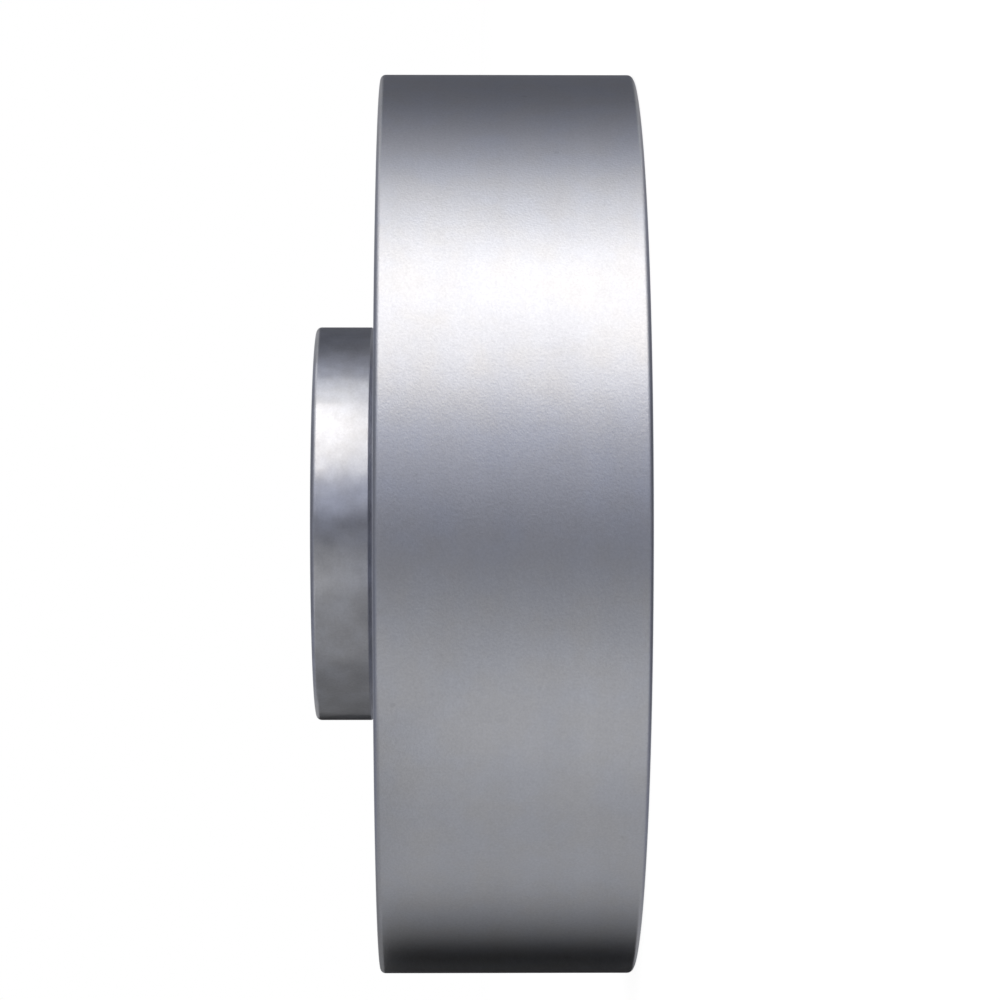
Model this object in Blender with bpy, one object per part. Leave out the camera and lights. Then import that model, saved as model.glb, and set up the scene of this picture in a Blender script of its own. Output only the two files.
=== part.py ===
"""Wheel spacer: a thick turned disc that sits between a road wheel and its hub.

The spacer is one piece of aluminium. Its flat back bolts to the hub and its front carries the
wheel. The back has a round register that fits over the hub's centring boss. The front has a
tubular spigot of the same nominal size, which centres the wheel. Two rings of holes share one
bolt circle: stepped fixing holes with sunk, conical bolt seats, and tapped holes between them
that take the wheel's own bolts.

The disc lies on its hub face: +Z points along the axis to the wheel side, and the origin is the
centre of the hub face.
"""

import math

import bmesh
import bpy
from mathutils import Matrix, Vector

MM = 0.001

# Disc
THICKNESS = 40.0 * MM
RIM_WALL = 5.0 * MM  # metal between a bolt pocket and the outside of the disc
RIM_ROUND = 0.8 * MM

# Centring: the nominal centre bore of hub and wheel, and what fits in or over it
CENTRE_BORE = 63.4 * MM
SPIGOT_CLEARANCE = 0.1 * MM  # the spigot's diameter is this much under the wheel's bore
REGISTER_CLEARANCE = 0.1 * MM  # the register's diameter is this much over the hub's boss
SPIGOT_LENGTH = 10.4 * MM
SPIGOT_WALL = 4.0 * MM
SPIGOT_ROUND = 0.8 * MM
REGISTER_DEPTH = 13.0 * MM
REGISTER_LEAD_IN = 2.0 * MM
BORE_CHAMFER = 0.5 * MM

# Relief turned into the foot of the spigot, so that the wheel seats flat on the disc
RELIEF_WIDTH = 1.5 * MM
RELIEF_DEPTH = 0.5 * MM

# Bolt circle
BOLT_COUNT = 5
BOLT_CIRCLE = 108.0 * MM
FIRST_BOLT_ANGLE = math.radians(90)

# Fixing holes, which take the bolts into the hub
FIXING_HOLE = 15.0 * MM
FIXING_GRIP = 16.0 * MM  # metal between the hub face and the floor of the pocket
SEAT_DIAMETER = 22.0 * MM
SEAT_ANGLE = math.radians(60)  # full angle of the bolt's conical seat
POCKET_DIAMETER = 26.0 * MM

# Tapped holes, which take the wheel's bolts: M14 with a pitch of 1.5
THREAD_DIAMETER = 14.0 * MM
THREAD_PITCH = 1.5 * MM
THREAD_HEIGHT_SHARE = 1.0825  # of the pitch: twice the height of a metric nut thread
COUNTERSINK_MARGIN = 0.5 * MM  # the countersink is this much wider than the thread, on radius

HOLE_CHAMFER = 0.5 * MM

# Sizes that follow from the ones above
DISC_RADIUS = BOLT_CIRCLE / 2 + POCKET_DIAMETER / 2 + RIM_WALL
SPIGOT_RADIUS = (CENTRE_BORE - SPIGOT_CLEARANCE) / 2
REGISTER_RADIUS = (CENTRE_BORE + REGISTER_CLEARANCE) / 2
BORE_RADIUS = SPIGOT_RADIUS - SPIGOT_WALL
SPIGOT_END = THICKNESS + SPIGOT_LENGTH
TAPPING_RADIUS = (THREAD_DIAMETER - THREAD_HEIGHT_SHARE * THREAD_PITCH) / 2

# Fineness of the round surfaces
BODY_STEPS = 120
POCKET_STEPS = 36
TAPPED_STEPS = 24
ROUND_STEPS = 3
WELD = 0.001 * MM
SHARP_ANGLE = math.radians(35)
DRILL_OVERRUN = 1.0 * MM  # how far a drill runs past each face

ALUMINIUM_COLOUR = (0.55, 0.56, 0.58, 1.0)
ALUMINIUM_ROUGHNESS = 0.35


def clear_scene():
    """Remove whatever the scene holds."""
    for obj in list(bpy.data.objects):
        bpy.data.objects.remove(obj, do_unlink=True)


def aluminium():
    """Bare satin aluminium."""
    material = bpy.data.materials.new("aluminium")
    material.use_nodes = True
    shader = material.node_tree.nodes["Principled BSDF"]
    shader.inputs["Base Color"].default_value = ALUMINIUM_COLOUR
    shader.inputs["Metallic"].default_value = 1.0
    shader.inputs["Roughness"].default_value = ALUMINIUM_ROUGHNESS
    return material


def sharp(radius, height):
    """A corner of a half section, left sharp."""
    return Vector((radius, height)), 0.0, 0


def chamfered(radius, height, size):
    """A corner of a half section, with a flat cut across it."""
    return Vector((radius, height)), size, 1


def rounded(radius, height, size):
    """A corner of a half section, with an arc tangent to both of its sides."""
    return Vector((radius, height)), size, ROUND_STEPS


def section_points(corners):
    """The points of a half section, with its corners cut or rounded."""
    points = []
    for i, (corner, size, steps) in enumerate(corners):
        if steps == 0:
            points.append(corner)
            continue
        to_last = (corners[i - 1][0] - corner).normalized()
        to_next = (corners[(i + 1) % len(corners)][0] - corner).normalized()
        centre = corner + (to_last + to_next) * size / (1 + to_last.dot(to_next))
        start = corner + to_last * size - centre
        end = corner + to_next * size - centre
        turn = math.atan2(start.cross(end), start.dot(end))
        for step in range(steps + 1):
            points.append(centre + Matrix.Rotation(turn * step / steps, 2) @ start)
    return points


def turned(name, corners, steps):
    """A solid turned about the Z axis from the corners of its half section.

    A half section that starts and ends on the axis is open there. Any other one is closed.
    """
    points = section_points(corners)
    on_axis = points[0].x == 0
    shape = bmesh.new()
    verts = [shape.verts.new((point.x, 0, point.y)) for point in points]
    edges = [shape.edges.new(pair) for pair in zip(verts, verts[1:])]
    if not on_axis:
        edges.append(shape.edges.new((verts[-1], verts[0])))
    bmesh.ops.spin(shape, geom=verts + edges, cent=(0, 0, 0), axis=(0, 0, 1),
                   angle=2 * math.pi, steps=steps, use_merge=True)
    bmesh.ops.remove_doubles(shape, verts=shape.verts, dist=WELD)
    bmesh.ops.recalc_face_normals(shape, faces=shape.faces)
    mesh = bpy.data.meshes.new(name)
    shape.to_mesh(mesh)
    shape.free()
    return mesh


def body_mesh():
    """The lathe work: disc, spigot with its relief, centre bore and hub register."""
    relief_radius = SPIGOT_RADIUS - RELIEF_DEPTH
    return turned("spacer_body", [
        chamfered(REGISTER_RADIUS, 0, REGISTER_LEAD_IN),
        rounded(DISC_RADIUS, 0, RIM_ROUND),
        rounded(DISC_RADIUS, THICKNESS, RIM_ROUND),
        sharp(relief_radius, THICKNESS),
        sharp(relief_radius, THICKNESS + RELIEF_WIDTH - RELIEF_DEPTH),
        sharp(SPIGOT_RADIUS, THICKNESS + RELIEF_WIDTH),
        rounded(SPIGOT_RADIUS, SPIGOT_END, SPIGOT_ROUND),
        chamfered(BORE_RADIUS, SPIGOT_END, BORE_CHAMFER),
        sharp(BORE_RADIUS, REGISTER_DEPTH),
        sharp(REGISTER_RADIUS, REGISTER_DEPTH),
    ], BODY_STEPS)


def mouth(radius, face_height, chamfer, outward):
    """The last two corners of a drill where it leaves a face through a 45 degree chamfer."""
    reach = chamfer + DRILL_OVERRUN
    return [sharp(radius, face_height - outward * chamfer),
            sharp(radius + reach, face_height + outward * DRILL_OVERRUN),
            sharp(0, face_height + outward * DRILL_OVERRUN)]


def fixing_drill():
    """A stepped drill: bolt hole, conical seat and the pocket for the bolt's head."""
    hole_radius = FIXING_HOLE / 2
    seat_radius = SEAT_DIAMETER / 2
    seat_depth = (seat_radius - hole_radius) / math.tan(SEAT_ANGLE / 2)
    hub_end = mouth(hole_radius, 0, HOLE_CHAMFER, -1)
    wheel_end = mouth(POCKET_DIAMETER / 2, THICKNESS, HOLE_CHAMFER, 1)
    return turned("fixing_drill", hub_end[::-1] + [
        sharp(hole_radius, FIXING_GRIP - seat_depth),
        sharp(seat_radius, FIXING_GRIP),
        sharp(POCKET_DIAMETER / 2, FIXING_GRIP),
    ] + wheel_end, POCKET_STEPS)


def tapping_drill():
    """A plain drill at the thread's inner diameter, with a countersink at each face."""
    countersink = THREAD_DIAMETER / 2 + COUNTERSINK_MARGIN - TAPPING_RADIUS
    hub_end = mouth(TAPPING_RADIUS, 0, countersink, -1)
    wheel_end = mouth(TAPPING_RADIUS, THICKNESS, countersink, 1)
    return turned("tapping_drill", hub_end[::-1] + wheel_end, TAPPED_STEPS)


def place_round_circle(mesh, first_angle, collection):
    """Copies of a drill around the bolt circle, as cutters that don't render."""
    for index in range(BOLT_COUNT):
        angle = first_angle + index * 2 * math.pi / BOLT_COUNT
        drill = bpy.data.objects.new(f"{mesh.name}_{index + 1}", mesh)
        drill.location = (BOLT_CIRCLE / 2 * math.cos(angle), BOLT_CIRCLE / 2 * math.sin(angle), 0)
        drill.rotation_euler.z = angle
        drill.hide_render = True
        drill.display_type = "WIRE"
        collection.objects.link(drill)


def cut(body, cutters):
    """Take the cutters out of the body for good, and remove them."""
    boolean = body.modifiers.new("holes", "BOOLEAN")
    boolean.operation = "DIFFERENCE"
    boolean.operand_type = "COLLECTION"
    boolean.collection = cutters
    boolean.solver = "EXACT"
    bpy.context.view_layer.update()
    evaluated = body.evaluated_get(bpy.context.evaluated_depsgraph_get())
    cut_mesh = bpy.data.meshes.new_from_object(evaluated)
    body.modifiers.remove(boolean)
    for drill in list(cutters.objects):
        bpy.data.objects.remove(drill, do_unlink=True)
    bpy.data.collections.remove(cutters)
    body.data = cut_mesh


def build():
    """The finished spacer."""
    clear_scene()
    scene = bpy.context.scene

    body = bpy.data.objects.new("spacer_body", body_mesh())
    scene.collection.objects.link(body)

    cutters = bpy.data.collections.new("drills")
    scene.collection.children.link(cutters)
    half_step = math.pi / BOLT_COUNT
    place_round_circle(fixing_drill(), FIRST_BOLT_ANGLE, cutters)
    place_round_circle(tapping_drill(), FIRST_BOLT_ANGLE + half_step, cutters)
    cut(body, cutters)

    body.data.materials.append(aluminium())
    body.data.shade_smooth()
    body.data.set_sharp_from_angle(angle=SHARP_ANGLE)


build()
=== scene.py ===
# %% [markdown]
# # A turned wheel spacer in satin aluminium
#
# The object is one thick disc of aluminium, turned on a lathe and drilled. On the wheel side a
# short tube stands out of it, the spigot, which centres the wheel. This script dresses the packed
# part: it loads it as a fixed frame, builds a finer mesh in its place, gives the metal its grain
# and tool marks, and lights it as a product picture.

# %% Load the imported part
import math

import bmesh
import bpy
from mathutils import Matrix, Vector


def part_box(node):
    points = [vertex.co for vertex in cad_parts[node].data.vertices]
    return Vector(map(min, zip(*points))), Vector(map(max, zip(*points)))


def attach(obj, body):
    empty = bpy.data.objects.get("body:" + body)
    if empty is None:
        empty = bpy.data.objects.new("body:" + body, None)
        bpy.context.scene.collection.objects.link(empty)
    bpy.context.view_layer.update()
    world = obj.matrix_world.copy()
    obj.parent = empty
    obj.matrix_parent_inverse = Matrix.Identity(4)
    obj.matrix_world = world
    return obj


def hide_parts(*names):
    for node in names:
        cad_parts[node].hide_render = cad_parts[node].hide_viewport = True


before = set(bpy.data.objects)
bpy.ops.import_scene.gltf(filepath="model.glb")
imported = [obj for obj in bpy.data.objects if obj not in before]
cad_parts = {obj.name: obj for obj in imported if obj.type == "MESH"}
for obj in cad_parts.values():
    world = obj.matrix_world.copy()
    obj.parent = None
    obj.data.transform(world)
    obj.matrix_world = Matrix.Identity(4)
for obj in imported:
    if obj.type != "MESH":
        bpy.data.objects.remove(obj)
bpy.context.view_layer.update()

# %% [markdown]
# The frame gives the outer sizes, so the mesh can't drift away from the part. The other sizes are
# those that a spacer for a 63.4 mm hub has: the spigot and the register differ from that bore by a
# clearance of 0.1 mm, and the two rings of holes share one bolt circle of 108 mm.

# %% Sizes
MM = 0.001
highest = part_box("spacer_body")[1]
disc_radius, spigot_end = highest[0], highest[2]

thickness = 40.0 * MM
rim_round = 0.8 * MM
centre_bore = 63.4 * MM
clearance = 0.1 * MM
spigot_radius = (centre_bore - clearance) / 2
register_radius = (centre_bore + clearance) / 2
spigot_wall = 4.0 * MM
bore_radius = spigot_radius - spigot_wall
register_depth = 13.0 * MM
lead_in = 2.0 * MM
relief_width = 1.5 * MM
relief_depth = 0.5 * MM

bolt_count = 5
bolt_circle_radius = 54.0 * MM
pocket_radius = 13.0 * MM
seat_radius = 11.0 * MM
hole_radius = 7.5 * MM
grip = 16.0 * MM
seat_half_angle = math.radians(30)
chamfer = 0.5 * MM

thread_radius = 7.0 * MM
pitch = 1.5 * MM
thread_height_share = 0.54125
tapping_radius = thread_radius - thread_height_share * pitch
countersink_margin = 0.5 * MM
countersink_radius = thread_radius + countersink_margin
print(f"disc {2 * disc_radius / MM:.1f} mm across, {spigot_end / MM:.1f} mm high with its spigot")

# %% [markdown]
# A turned part is a half section swept round an axis. A bmesh wire of a few corners is enough: a
# vertex bevel rounds each corner by its own size, and a full spin makes the skin. Smooth shading
# would smear the light from a rounding over the long plain faces beside it. A plain point just
# past each end of a rounding holds the shading there, so flats stay flat and the rim stays true.

# %% Turn a half section
ROUNDING_SEGMENTS = 5
HOLD = 0.12 * MM
WELD = 0.002 * MM


def held(corners):
    """The corners (radius, height, rounding), with a plain point past each end of a rounding."""
    points = []
    for i, (radius, height, rounding) in enumerate(corners):
        here = Vector((radius, height))
        beside = []
        for other in corners[max(i - 1, 0):i] + corners[i + 1:i + 2]:
            step = Vector(other[:2]) - here
            reach = rounding + HOLD
            fits = rounding and step.length > reach + other[2] + 2 * HOLD
            beside.append((*(here + step.normalized() * reach), 0) if fits else None)
        before = beside[0] if i > 0 else None
        after = beside[-1] if i < len(corners) - 1 else None
        points += [p for p in (before, (radius, height, rounding), after) if p]
    return points


def turn(corners, steps, centre=(0, 0)):
    """A bmesh of the surface that the half section leaves when it turns about a centre."""
    shape = bmesh.new()
    points = held(corners)
    verts = [shape.verts.new((centre[0] + radius, centre[1], height)) for radius, height, _ in points]
    for pair in zip(verts, verts[1:]):
        shape.edges.new(pair)
    for size in sorted({point[2] for point in points if point[2]}):
        chosen = [vert for vert, point in zip(verts, points) if point[2] == size]
        bmesh.ops.bevel(shape, geom=chosen, offset=size, offset_type="OFFSET", profile=0.5,
                        segments=ROUNDING_SEGMENTS, affect="VERTICES", material=-1)
    bmesh.ops.spin(shape, geom=shape.verts[:] + shape.edges[:], cent=(*centre, 0), axis=(0, 0, 1),
                   angle=2 * math.pi, steps=steps, use_merge=True)
    return shape


# %% [markdown]
# Each surface goes into one body mesh with the number of its finish: 0 for turned skin, 1 for the
# walls of drilled holes, 2 for the flat faces and 3 for the outside of the spigot, which is turned
# more finely. The outside of the disc is one strip, from the hub face over the rim to the wheel
# face. The spigot with the relief at its foot is a second one, and the bore and the register are a
# third.

# %% Outside, spigot, bore and register
TURNED, DRILLED, FACED, SPIGOT = 0, 1, 2, 3
BODY_STEPS = 360
FLAT_STRIP = 1.5 * MM
SHARP_BREAK = 0.1 * MM
TOOL_NOSE = 0.2 * MM
body = bmesh.new()


def add_to_body(shape, finish):
    """Put a finished surface into the body, and free it."""
    for face in shape.faces:
        face.material_index = finish
    mesh = bpy.data.meshes.new("surface")
    shape.to_mesh(mesh)
    shape.free()
    body.from_mesh(mesh)
    bpy.data.meshes.remove(mesh)
    print(f"body has {len(body.faces)} faces")


add_to_body(turn([
    (disc_radius - FLAT_STRIP, 0, 0),
    (disc_radius, 0, rim_round),
    (disc_radius, thickness, rim_round),
    (disc_radius - FLAT_STRIP, thickness, 0),
], BODY_STEPS), TURNED)

relief_radius = spigot_radius - relief_depth
add_to_body(turn([
    (relief_radius + FLAT_STRIP, thickness, 0),
    (relief_radius, thickness, TOOL_NOSE),
    (relief_radius, thickness + relief_width - relief_depth, TOOL_NOSE),
    (spigot_radius, thickness + relief_width, SHARP_BREAK),
    (spigot_radius, spigot_end, rim_round),
    (spigot_radius - FLAT_STRIP, spigot_end, 0),
], BODY_STEPS), SPIGOT)
add_to_body(turn([
    (spigot_radius - FLAT_STRIP, spigot_end, 0),
    (bore_radius + chamfer, spigot_end, SHARP_BREAK),
    (bore_radius, spigot_end - chamfer, SHARP_BREAK),
    (bore_radius, register_depth, SHARP_BREAK),
    (register_radius, register_depth, TOOL_NOSE),
    (register_radius, lead_in, SHARP_BREAK),
    (register_radius + lead_in, 0, SHARP_BREAK),
    (register_radius + lead_in + FLAT_STRIP, 0, 0),
], BODY_STEPS), TURNED)

# %% [markdown]
# A fixing hole is a stepped one: the pocket that sinks the bolt's head, a flat floor, the cone
# that the bolt seats on, and the plain hole through to the hub. It is turned about its own axis.
# A spin with use_duplicate then repeats it round the bolt circle, four more times.

# %% Fixing holes
HOLE_STEPS = 96
FIRST_ANGLE = math.radians(90)
HOLE_STRIP = 1.0 * MM


def round_the_circle(shape):
    """Repeat a surface round the bolt circle."""
    share = (bolt_count - 1) / bolt_count
    bmesh.ops.spin(shape, geom=shape.verts[:] + shape.edges[:] + shape.faces[:], cent=(0, 0, 0),
                   axis=(0, 0, 1), angle=2 * math.pi * share, steps=bolt_count - 1,
                   use_duplicate=True)
    return shape


def on_circle(angle):
    """The centre of a hole at that angle on the bolt circle."""
    return bolt_circle_radius * math.cos(angle), bolt_circle_radius * math.sin(angle)


seat_depth = (seat_radius - hole_radius) / math.tan(seat_half_angle)
add_to_body(round_the_circle(turn([
    (pocket_radius + HOLE_STRIP, thickness, 0),
    (pocket_radius + chamfer, thickness, SHARP_BREAK),
    (pocket_radius, thickness - chamfer, SHARP_BREAK),
    (pocket_radius, grip, TOOL_NOSE),
    (seat_radius, grip, SHARP_BREAK),
    (hole_radius, grip - seat_depth, SHARP_BREAK),
    (hole_radius, chamfer, SHARP_BREAK),
    (hole_radius + chamfer, 0, SHARP_BREAK),
    (hole_radius + HOLE_STRIP, 0, 0),
], HOLE_STEPS, on_circle(FIRST_ANGLE))), DRILLED)

# %% [markdown]
# The tapped holes between them have a real M14 x 1.5 thread. One pitch of the thread's section,
# spun with a rise at each step, leaves a screw surface whose turns meet when doubles are merged.
# Two bisect planes cut it flush with the faces. The countersink is made by moving outward every
# point that lies inside its cone, so the first turns run out into it as they do on real metal.

# %% Tapped holes
THREAD_STEPS = 48
SPARE_TURNS = 2
CUT_WELD = WELD / 10


def thread_wall(centre):
    """A bmesh of one tapped wall with its countersinks, open at the two faces."""
    shape = bmesh.new()
    start = -SPARE_TURNS * pitch
    crest, flank, root = pitch / 4, pitch * 5 / 16, pitch / 8
    section = [(tapping_radius, 0), (tapping_radius, crest), (thread_radius, crest + flank),
               (thread_radius, crest + flank + root), (tapping_radius, pitch)]
    verts = [shape.verts.new((centre[0] + radius, centre[1], start + rise)) for radius, rise in section]
    for pair in zip(verts, verts[1:]):
        shape.edges.new(pair)
    turns = math.ceil(thickness / pitch) + 2 * SPARE_TURNS
    bmesh.ops.spin(shape, geom=shape.verts[:] + shape.edges[:], cent=(*centre, 0), axis=(0, 0, 1),
                   dvec=(0, 0, pitch / THREAD_STEPS), angle=2 * math.pi * turns,
                   steps=THREAD_STEPS * turns)
    bmesh.ops.remove_doubles(shape, verts=shape.verts, dist=WELD)
    for height, direction in ((0, -1), (thickness, 1)):
        bmesh.ops.bisect_plane(shape, geom=shape.verts[:] + shape.edges[:] + shape.faces[:],
                               dist=CUT_WELD, plane_co=(0, 0, height), plane_no=(0, 0, direction),
                               clear_outer=True)
    for vert in shape.verts:
        away = Vector((vert.co.x - centre[0], vert.co.y - centre[1]))
        depth = min(vert.co.z, thickness - vert.co.z)
        if away.length < countersink_radius - depth:
            away *= (countersink_radius - depth) / away.length
            vert.co.xy = Vector(centre) + away
    bmesh.ops.remove_doubles(shape, verts=shape.verts, dist=WELD)
    return shape


half_step = math.pi / bolt_count
add_to_body(round_the_circle(thread_wall(on_circle(FIRST_ANGLE + half_step))), DRILLED)

# %% [markdown]
# What is still open are the two flat faces, each bounded by the rim's strip, the middle's strip
# and ten holes. A triangle fill of all those edges at once leaves the holes open. After it, every
# edge has two faces, and the body is a closed solid.

# %% Hub face and wheel face
SEAM_WELD = WELD / 4
for height, direction in ((0, -1), (thickness, 1)):
    rims = [edge for edge in body.edges
            if edge.is_boundary and all(abs(vert.co.z - height) < WELD for vert in edge.verts)]
    made = bmesh.ops.triangle_fill(body, use_beauty=True, use_dissolve=False, edges=rims,
                                   normal=(0, 0, direction))
    for item in made["geom"]:
        if isinstance(item, bmesh.types.BMFace):
            item.material_index = FACED
bmesh.ops.remove_doubles(body, verts=body.verts, dist=SEAM_WELD)
bmesh.ops.recalc_face_normals(body, faces=body.faces)
open_edges = sum(len(edge.link_faces) != 2 for edge in body.edges)
volume_cm3 = body.calc_volume(signed=True) * 1e6
triangles = sum(len(face.verts) - 2 for face in body.faces)
print(f"{triangles} triangles, {open_edges} open edges, {volume_cm3:.1f} cubic centimetres")

# %% [markdown]
# The body becomes one object at the origin. Every face is shaded smooth, and edges that turn by
# more than 34 degrees are marked sharp, so roundings stay soft and drilled edges crisp. The piece
# rides on the part's only body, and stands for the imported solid, which is hidden in its favour.

# %% The piece
SHARP_ANGLE = math.radians(34)
mesh = bpy.data.meshes.new("turned_body")
body.to_mesh(mesh)
body.free()
mesh.shade_smooth()
mesh.set_sharp_from_angle(angle=SHARP_ANGLE)
counts = [sum(face.material_index == finish for face in mesh.polygons)
          for finish in (TURNED, DRILLED, FACED, SPIGOT)]
print(f"faces turned, drilled, faced and on the spigot: {counts}")
spacer = bpy.data.objects.new("turned_body", mesh)
bpy.context.scene.collection.objects.link(spacer)
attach(spacer, "root")
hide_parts("spacer_body")

# %% [markdown]
# The metal is satin: blasted with fine beads and clear anodised, over the marks of the lathe. Up
# close that is a grain of dimples, about a third of a millimetre across, faint rings left by the
# tool, and now and then a dark pit. It could be a photographed texture, but that would need a flat
# layout of the surface. Noises on Object coordinates need none. Those are in metres, so a noise of
# scale 1000 has features about a millimetre across.

# %% Node helpers
def add_node(tree, kind, label, **values):
    """A node with a label. Values are sockets by name, or the node's own settings."""
    node = tree.nodes.new(kind)
    node.label = label
    for name, value in values.items():
        socket = node.inputs.get(name.replace("_", " "))
        if socket is None:
            setattr(node, name, value)
        else:
            socket.default_value = value
    return node


def noise(tree, label, vector, scale, detail=2.0, roughness=0.5):
    """A noise on a vector, as a socket between 0 and 1."""
    node = add_node(tree, "ShaderNodeTexNoise", label, Scale=scale, Detail=detail,
                    Roughness=roughness)
    tree.links.new(vector, node.inputs["Vector"])
    return node.outputs["Fac"]


def ranged(tree, label, value, low_in, high_in, low_out, high_out):
    """A value moved from one range to another, and held inside it."""
    node = add_node(tree, "ShaderNodeMapRange", label)
    for name, number in (("From Min", low_in), ("From Max", high_in), ("To Min", low_out),
                         ("To Max", high_out)):
        node.inputs[name].default_value = number
    tree.links.new(value, node.inputs["Value"])
    return node.outputs["Result"]


def combine(tree, label, operation, first, second):
    """Two sockets or numbers put together by a maths node."""
    node = add_node(tree, "ShaderNodeMath", label, operation=operation)
    for socket, value in zip(node.inputs, (first, second)):
        if isinstance(value, (int, float)):
            socket.default_value = value
        else:
            tree.links.new(value, socket)
    return node.outputs["Value"]


# %% [markdown]
# Tool marks need a coordinate that changes across the rings and not along them. On the rim, the
# spigot and in the holes that is the height. On the flat faces it is the distance from the axis.
# Feeding that one number to a noise as a vector makes rings of it.

# %% Rings for the tool marks
def ring_coordinate(tree, place, across):
    """A vector that is the same all along one tool mark."""
    split = add_node(tree, "ShaderNodeSeparateXYZ", "place")
    tree.links.new(place, split.inputs["Vector"])
    join = add_node(tree, "ShaderNodeCombineXYZ", "across the marks")
    if across == "height":
        tree.links.new(split.outputs["Z"], join.inputs["Z"])
        return join.outputs["Vector"]
    x_squared = combine(tree, "x squared", "MULTIPLY", split.outputs["X"], split.outputs["X"])
    y_squared = combine(tree, "y squared", "MULTIPLY", split.outputs["Y"], split.outputs["Y"])
    total = combine(tree, "sum of squares", "ADD", x_squared, y_squared)
    radius = combine(tree, "distance from the axis", "SQRT", total, 0.0)
    tree.links.new(radius, join.inputs["X"])
    return join.outputs["Vector"]


# %% [markdown]
# Two more helpers. Colours are mixed by a share that a noise gives. Bumps are chained, so that each
# height keeps its own depth in metres, and the last normal carries them all.

# %% Mixed colours and chained bumps
def mixed(tree, label, blend_type, share, first, second):
    """Two colours or sockets mixed by a share, as a socket."""
    node = add_node(tree, "ShaderNodeMix", label, data_type="RGBA", blend_type=blend_type)
    tree.links.new(share, node.inputs["Factor"])
    sockets = [socket for socket in node.inputs if socket.type == "RGBA"]
    for socket, value in zip(sockets, (first, second)):
        if isinstance(value, tuple):
            socket.default_value = value
        else:
            tree.links.new(value, socket)
    return next(socket for socket in node.outputs if socket.type == "RGBA")


def bumped(tree, heights):
    """A normal that carries several heights, given as (label, socket, depth)."""
    normal = None
    for label, height, depth in heights:
        bump = add_node(tree, "ShaderNodeBump", label, Strength=1.0, Distance=depth)
        tree.links.new(height, bump.inputs["Height"])
        if normal:
            tree.links.new(normal, bump.inputs["Normal"])
        normal = bump.outputs["Normal"]
    return normal


# %% [markdown]
# The colour lies between two greys. Bands of the cut, wide blotches in the anodising, the grain's
# own specks and soft clouds set the tone, and a slow mottle warms it in places. The roughness
# wanders a little with the same noises. Metal looks glossier at a slant, which Layer Weight gives.

# %% Aluminium
METAL = (0.635, 0.65, 0.71, 1.0)
METAL_DARK = (0.496, 0.51, 0.563, 1.0)
WARM_TINT = (1.015, 1.0, 0.97, 1.0)
GRAIN_SCALE, GRAIN_RANGE, GRAIN_TONE = 2800, (0.25, 0.75), (0.0, 0.6)
MARK_SCALE, BAND_SCALE, BLOTCH_SCALE, WAVE_SCALE = 900, 160, 55, 260
PAIR_RANGE, WIDE_TONE = (0.6, 1.4), (0.0, 0.35)
PIT_SCALE, PIT_RANGE, PIT_TONE = 420, (0.75, 0.81), (0.0, 0.9)
CLOUD_SCALE, CLOUD_RANGE = 260, (0.3, 0.7)
MOTTLE_SCALE, MOTTLE_RANGE = 130, (0.4, 0.6)
GLOSS_SPREAD = 0.02
SLANT_RANGE, SLANT_SHINE = (0.6, 0.95), (0.0, 0.06)
LEAST_ROUGHNESS = 0.28


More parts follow.
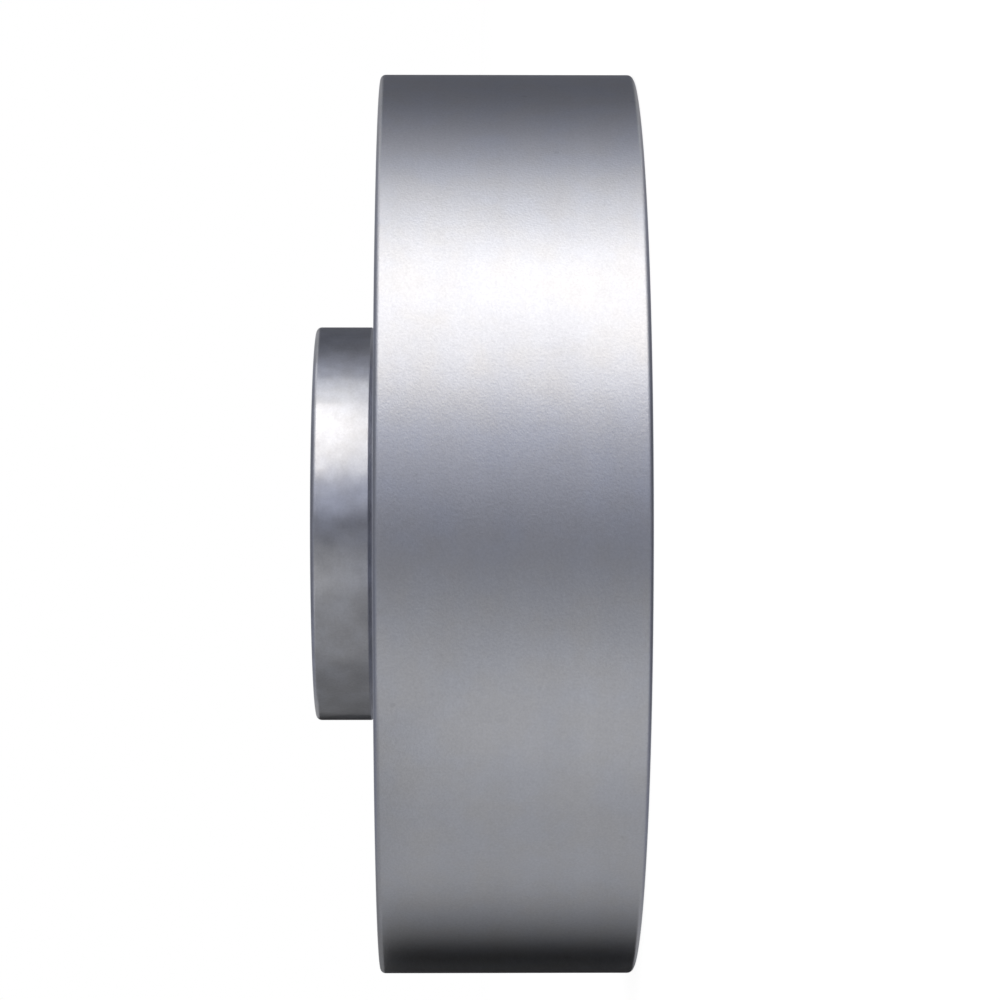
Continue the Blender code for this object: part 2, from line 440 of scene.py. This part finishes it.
def aluminium(name, across, roughness, grain_depth, mark_depth, wave_depth, cloudiness):
    """Satin aluminium with tool marks across the named coordinate."""
    material = bpy.data.materials.new(name)
    material.use_nodes = True
    tree = material.node_tree
    shader = tree.nodes["Principled BSDF"]
    shader.inputs["Metallic"].default_value = 1.0
    place = add_node(tree, "ShaderNodeTexCoord", "place").outputs["Object"]
    rings = ring_coordinate(tree, place, across)

    grain = noise(tree, "bead grain", place, GRAIN_SCALE, 3.0, 0.6)
    marks = noise(tree, "tool marks", rings, MARK_SCALE, 2.0)
    bands = noise(tree, "bands of the cut", rings, BAND_SCALE, 3.0)
    waves = noise(tree, "waves", place, WAVE_SCALE, 1.0, 0.4)
    blotches = noise(tree, "uneven anodising", place, BLOTCH_SCALE, 4.0, 0.6)
    pits = noise(tree, "pit field", place, PIT_SCALE, 1.0)
    clouds = noise(tree, "cloud field", place, CLOUD_SCALE, 3.0, 0.55)
    mottle = noise(tree, "mottle field", place, MOTTLE_SCALE, 3.0, 0.6)

    tone = combine(tree, "bands and blotches", "ADD", bands, blotches)
    tone = ranged(tree, "wide tone", tone, *PAIR_RANGE, *WIDE_TONE)
    specks = ranged(tree, "specks", grain, *GRAIN_RANGE, *GRAIN_TONE)
    tone = combine(tree, "tone", "ADD", tone, specks)
    clouds = ranged(tree, "clouds", clouds, *CLOUD_RANGE, -cloudiness, cloudiness)
    tone = combine(tree, "tone and clouds", "ADD", tone, clouds)
    pits = ranged(tree, "pits", pits, *PIT_RANGE, *PIT_TONE)
    tone = combine(tree, "tone and pits", "MAXIMUM", tone, pits)
    mottle = ranged(tree, "mottle", mottle, *MOTTLE_RANGE, 0.0, 1.0)
    colour = mixed(tree, "metal colour", "MIX", tone, METAL, METAL_DARK)
    colour = mixed(tree, "warm mottle", "MULTIPLY", mottle, colour, WARM_TINT)
    tree.links.new(colour, shader.inputs["Base Color"])

    gloss = combine(tree, "gloss pattern", "ADD", grain, blotches)
    gloss = ranged(tree, "roughness", gloss, *PAIR_RANGE, roughness - GLOSS_SPREAD,
                   roughness + GLOSS_SPREAD)
    slant = add_node(tree, "ShaderNodeLayerWeight", "slant").outputs["Facing"]
    shine = ranged(tree, "shine at a slant", slant, *SLANT_RANGE, *SLANT_SHINE)
    gloss = combine(tree, "glossier at a slant", "SUBTRACT", gloss, shine)
    gloss = combine(tree, "least roughness", "MAXIMUM", gloss, LEAST_ROUGHNESS)
    tree.links.new(gloss, shader.inputs["Roughness"])

    normal = bumped(tree, [("grain", grain, grain_depth), ("tool marks", marks, mark_depth),
                           ("waves", waves, wave_depth)])
    tree.links.new(normal, shader.inputs["Normal"])
    print(f"material {name}, roughness about {roughness}")
    return material


# %% [markdown]
# Four finishes are made from it, in the order of their numbers. The blasted outside has the deepest
# grain. Drilled walls show more of the tool. The faces have rings by radius. The spigot is smooth
# enough that its shallow waves and clouds bend and dull the highlight.

# %% Four finishes
FINISHES = [
    ("turned_satin", "height", 0.36, (0.025, 0.002, 0.004), 0.05),
    ("drilled_bright", "height", 0.30, (0.006, 0.008, 0.002), 0.05),
    ("faced_satin", "radius", 0.34, (0.014, 0.012, 0.004), 0.05),
    ("turned_fine", "height", 0.30, (0.004, 0.001, 0.10), 0.40),
]
for name, across, roughness, depths_mm, cloudiness in FINISHES:
    depths = [depth * MM for depth in depths_mm]
    mesh.materials.append(aluminium(name, across, roughness, *depths, cloudiness))

# %% [markdown]
# The picture is taken from the side, level with the disc and with the camera turned on its side,
# so the axis of the disc runs across the frame with the spigot to the left. The camera stands
# 588 mm from the axis. It aims a little past the middle of the part, which puts the part where
# the picture has it without any lens shift.

# %% Camera
FOCAL_PIXELS = 3640
FRAME_PIXELS = 1000
SENSOR = 36.0
CAMERA_PLACE = Vector((0, -588, 28.9)) * MM
AIM = Vector((3.82, 0, 20.9)) * MM
PICTURE_UP = Vector((1, 0, 0))
CLIP_START = 10 * MM

camera_data = bpy.data.cameras.new("camera")
camera_data.sensor_width = SENSOR
camera_data.lens = FOCAL_PIXELS * SENSOR / FRAME_PIXELS
camera_data.clip_start = CLIP_START
camera = bpy.data.objects.new("camera", camera_data)
forward = (AIM - CAMERA_PLACE).normalized()
right = forward.cross(PICTURE_UP).normalized()
up = right.cross(forward)
turned = Matrix((right, up, -forward)).transposed().to_4x4()
camera.matrix_world = Matrix.Translation(CAMERA_PLACE) @ turned
bpy.context.scene.collection.objects.link(camera)
bpy.context.scene.camera = camera
print(f"lens {camera_data.lens:.1f} mm")

# %% [markdown]
# Satin metal shows what stands round it, so its light is made with cards that glow evenly. Lamps
# alone would give it small hot spots. A card is a short line, swept round the axis by a spin. Only
# reflections see the cards: the camera, the floor and the shadows don't.

# %% One card
RING = 700 * MM
WALL_TOP = 490 * MM
CLOTH_TOP = 150 * MM
SOFTBOX_TOP = 215 * MM
CAP_MIDDLE = (450 * MM, 760 * MM)
CAP_TOP = (10 * MM, 900 * MM)
CARD_STEP = math.radians(3)
WARM = (1.04, 1.0, 0.94)
NEUTRAL = (1.0, 1.0, 1.0)
COOL = (0.94, 0.975, 1.12)
WALL = [(RING, -WALL_TOP), (RING, WALL_TOP)]
CLOTH = [(RING, -CLOTH_TOP), (RING, CLOTH_TOP)]
SOFTBOX = [(RING, -SOFTBOX_TOP), (RING, SOFTBOX_TOP)]


def glowing(name, colour, level):
    """An even glow."""
    material = bpy.data.materials.new(name)
    material.use_nodes = True
    tree = material.node_tree
    tree.nodes.clear()
    glow = add_node(tree, "ShaderNodeEmission", "glow", Color=(*colour, 1.0), Strength=level)
    output = add_node(tree, "ShaderNodeOutputMaterial", "output")
    tree.links.new(glow.outputs["Emission"], output.inputs["Surface"])
    return material


def studio_piece(name, shape, material):
    """Studio equipment, which reflections see, and the camera and plain surfaces don't."""
    piece_mesh = bpy.data.meshes.new(name)
    shape.to_mesh(piece_mesh)
    shape.free()
    piece_mesh.materials.append(material)
    piece = bpy.data.objects.new(name, piece_mesh)
    piece.visible_camera = False
    piece.visible_diffuse = False
    piece.visible_shadow = False
    bpy.context.scene.collection.objects.link(piece)
    print(f"{name}, {len(piece_mesh.polygons)} faces")


def card(name, first, last, colour, level, profile):
    """A profile (distance, height) swept between two angles, in degrees from the camera's side."""
    shape = bmesh.new()
    verts = [shape.verts.new((0, -distance, height)) for distance, height in profile]
    for pair in zip(verts, verts[1:]):
        shape.edges.new(pair)
    bmesh.ops.rotate(shape, cent=(0, 0, 0), matrix=Matrix.Rotation(math.radians(first), 3, "Z"),
                     verts=shape.verts)
    sweep = math.radians(last - first)
    bmesh.ops.spin(shape, geom=shape.verts[:] + shape.edges[:], cent=(0, 0, 0), axis=(0, 0, 1),
                   angle=sweep, steps=round(sweep / CARD_STEP))
    studio_piece(name, shape, glowing(name, colour, level))


# %% [markdown]
# They stand in a ring, seven hundred millimetres from the axis. Going round from the camera, where
# it is dim, there is a softbox to one side, brightest in its middle, and a plain grey reflector to
# the other. Dark cloth hangs behind. Grey caps close the ring above and below, which gives the
# rounded edges their thin dark lines. The ring reaches as far below the floor as above it, so
# every part of the rim is lit alike from its foot to its top.

# %% Ring of cards
CARDS = [
    ("behind_camera", -12, 6, COOL, 0.19, WALL),
    ("beside_camera_high", 6, 30, COOL, 0.62, WALL),
    ("beside_camera_low", -30, -12, NEUTRAL, 0.43, WALL),
    ("reflector_near", -60, -30, NEUTRAL, 0.63, WALL),
    ("reflector_far", -111, -60, NEUTRAL, 0.46, WALL),
    ("grey_cloth", 111, 180, COOL, 0.115, CLOTH),
    ("dark_cloth", -147, -111, NEUTRAL, 0.18, CLOTH),
    ("black_cloth", -180, -147, NEUTRAL, 0.0, CLOTH),
    ("softbox_near", 30, 50, WARM, 1.85, SOFTBOX),
    ("softbox_middle", 50, 70, WARM, 2.27, SOFTBOX),
    ("softbox_far", 70, 90, NEUTRAL, 1.23, SOFTBOX),
    ("softbox_edge", 90, 111, COOL, 0.36, SOFTBOX),
]
for settings in CARDS:
    card(*settings)
for side, word, top_level in ((1, "over", 0.2), (-1, "under", 0.13)):
    card(f"cloth_{word}", 111, 249, NEUTRAL, 0.38,
         [(RING, side * CLOTH_TOP), (RING, side * WALL_TOP)])
    card(f"softbox_{word}", 30, 111, NEUTRAL, 0.85,
         [(RING, side * SOFTBOX_TOP), (RING, side * WALL_TOP)])
    card(f"low_cap_{word}", -180, 180, COOL, 0.3,
         [(RING, side * WALL_TOP), (CAP_MIDDLE[0], side * CAP_MIDDLE[1])])
    card(f"high_cap_{word}", -180, 180, COOL, top_level,
         [(CAP_MIDDLE[0], side * CAP_MIDDLE[1]), (CAP_TOP[0], side * CAP_TOP[1])])

# %% [markdown]
# In the picture the disc stands on a table, on the reflector's side, so its rim runs into black
# where it hides its own contact line. Three small cards take that table's place, upright and eight
# millimetres off the rim. The one beside the rim carries a painted contact shadow: its glow fades to
# black towards the contact line, and then thins out, so that it has no hard edge from behind. The
# two beside the spigot are plain greys, the further one darker, since the spigot is further off the
# table.

# %% Table beside the part
TABLE_GAP = 8 * MM
RIM_NEAR, RIM_FOOT = -80 * MM, -5 * MM
SPIGOT_NEAR, SPIGOT_MIDDLE, SPIGOT_FAR = -120 * MM, -26 * MM, 24 * MM
RIM_LEVEL, SPIGOT_LEVEL, SPIGOT_DIM = 0.47, 0.35, 0.22
FADE_START, FADE_END = -45 * MM, -18 * MM
THIN_START, THIN_END = -9 * MM, 11 * MM


def table_card(name, near, far, low_end, high_end, material):
    """A small upright card between two distances from the camera and two heights."""
    shape = bmesh.new()
    corners = ((near, low_end), (far, low_end), (far, high_end), (near, high_end))
    shape.faces.new([shape.verts.new((-disc_radius - TABLE_GAP, y, z)) for y, z in corners])
    studio_piece(name, shape, material)


contact = glowing("contact_shadow", NEUTRAL, RIM_LEVEL)
tree = contact.node_tree
place = add_node(tree, "ShaderNodeTexCoord", "place").outputs["Object"]
split = add_node(tree, "ShaderNodeSeparateXYZ", "distance")
tree.links.new(place, split.inputs["Vector"])
# The fade is a painted contact shadow: the card's glow drops to black towards the contact line.
fade = ranged(tree, "fade", split.outputs["Y"], FADE_START, FADE_END, RIM_LEVEL, 0.0)
tree.links.new(fade, tree.nodes["Emission"].inputs["Strength"])
thin = ranged(tree, "thin", split.outputs["Y"], THIN_START, THIN_END, 0.0, 1.0)
clear = add_node(tree, "ShaderNodeBsdfTransparent", "clear")
blend = add_node(tree, "ShaderNodeMixShader", "thinning")
tree.links.new(thin, blend.inputs[0])
tree.links.new(tree.nodes["Emission"].outputs["Emission"], blend.inputs[1])
tree.links.new(clear.outputs["BSDF"], blend.inputs[2])
tree.links.new(blend.outputs["Shader"], tree.nodes["Material Output"].inputs["Surface"])
table_card("table_beside_rim", RIM_NEAR, THIN_END, RIM_FOOT, thickness, contact)
table_card("table_beside_spigot", SPIGOT_NEAR, SPIGOT_MIDDLE, thickness + MM, 2 * thickness,
           glowing("table_grey", NEUTRAL, SPIGOT_LEVEL))
table_card("table_behind_spigot", SPIGOT_MIDDLE, SPIGOT_FAR, thickness + MM, 2 * thickness,
           glowing("table_dim", NEUTRAL, SPIGOT_DIM))

# %% [markdown]
# The floor is white to the camera and to glossy and transmission rays, at a strength of 1, and an
# ordinary pale surface to everything else. A tenth of what the camera sees is real diffuse paint,
# which keeps a soft shadow. The disc lies on it, but its light belongs to a disc that stands free,
# so the metal doesn't mirror the floor.

# %% Floor
FLOOR_HALF = 3.0
FLOOR_DROP = 0.05 * MM
PAINT_SHARE = 0.1
PALE = (0.95, 0.95, 0.95, 1.0)
WHITE = (1.0, 1.0, 1.0, 1.0)


def seen_directly(tree):
    """1 for camera, glossy and transmission rays, and 0 for the others."""
    path = add_node(tree, "ShaderNodeLightPath", "kind of ray")
    seen = combine(tree, "camera or glossy", "MAXIMUM", path.outputs["Is Camera Ray"],
                   path.outputs["Is Glossy Ray"])
    return combine(tree, "or transmission", "MAXIMUM", seen, path.outputs["Is Transmission Ray"])


floor_shape = bmesh.new()
bmesh.ops.create_grid(floor_shape, x_segments=1, y_segments=1, size=FLOOR_HALF)
bmesh.ops.translate(floor_shape, verts=floor_shape.verts, vec=(0, 0, -FLOOR_DROP))
floor_mesh = bpy.data.meshes.new("floor")
floor_shape.to_mesh(floor_mesh)
floor_shape.free()
floor_material = bpy.data.materials.new("floor")
floor_material.use_nodes = True
tree = floor_material.node_tree
tree.nodes.clear()
paint = add_node(tree, "ShaderNodeBsdfDiffuse", "pale paint", Color=PALE)
light = add_node(tree, "ShaderNodeEmission", "white", Color=WHITE, Strength=1.0)
blend = add_node(tree, "ShaderNodeMixShader", "white where seen")
output = add_node(tree, "ShaderNodeOutputMaterial", "output")
share = combine(tree, "less the paint's share", "MULTIPLY", seen_directly(tree), 1 - PAINT_SHARE)
tree.links.new(share, blend.inputs[0])
tree.links.new(paint.outputs["BSDF"], blend.inputs[1])
tree.links.new(light.outputs["Emission"], blend.inputs[2])
tree.links.new(blend.outputs["Shader"], output.inputs["Surface"])
floor_mesh.materials.append(floor_material)
floor = bpy.data.objects.new("floor", floor_mesh)
floor.visible_glossy = False
bpy.context.scene.collection.objects.link(floor)
print(f"floor, {2 * FLOOR_HALF:.0f} m wide")

# %% [markdown]
# The world is white in the same way, and lights the floor evenly. One large overhead lamp gives
# the floor's shadow its direction. A lamp that the metal mirrored would draw a light line along
# its rounded edges, so reflections don't see it.

# %% World and lamp
AMBIENT = 1.0
LAMP_SIZE = 1.2
LAMP_POWER = 14
LAMP_PLACE = (0.2, -0.2, 1.3)

world = bpy.data.worlds.new("studio")
bpy.context.scene.world = world
world.use_nodes = True
background = world.node_tree.nodes["Background"]
background.inputs["Color"].default_value = WHITE
tree = world.node_tree
strength = ranged(tree, "white where seen", seen_directly(tree), 0, 1, AMBIENT, 1)
tree.links.new(strength, background.inputs["Strength"])

lamp_data = bpy.data.lights.new("overhead", "AREA")
lamp_data.shape = "RECTANGLE"
lamp_data.size = LAMP_SIZE
lamp_data.size_y = LAMP_SIZE
lamp_data.energy = LAMP_POWER
lamp = bpy.data.objects.new("overhead", lamp_data)
lamp.visible_glossy = False
lamp.location = LAMP_PLACE
lamp.rotation_euler = (Vector(lamp.location)).to_track_quat("Z", "Y").to_euler()
bpy.context.scene.collection.objects.link(lamp)
bpy.context.scene.view_settings.view_transform = "Standard"
print(f"lamp of {LAMP_POWER} watts, {LAMP_SIZE} m across")
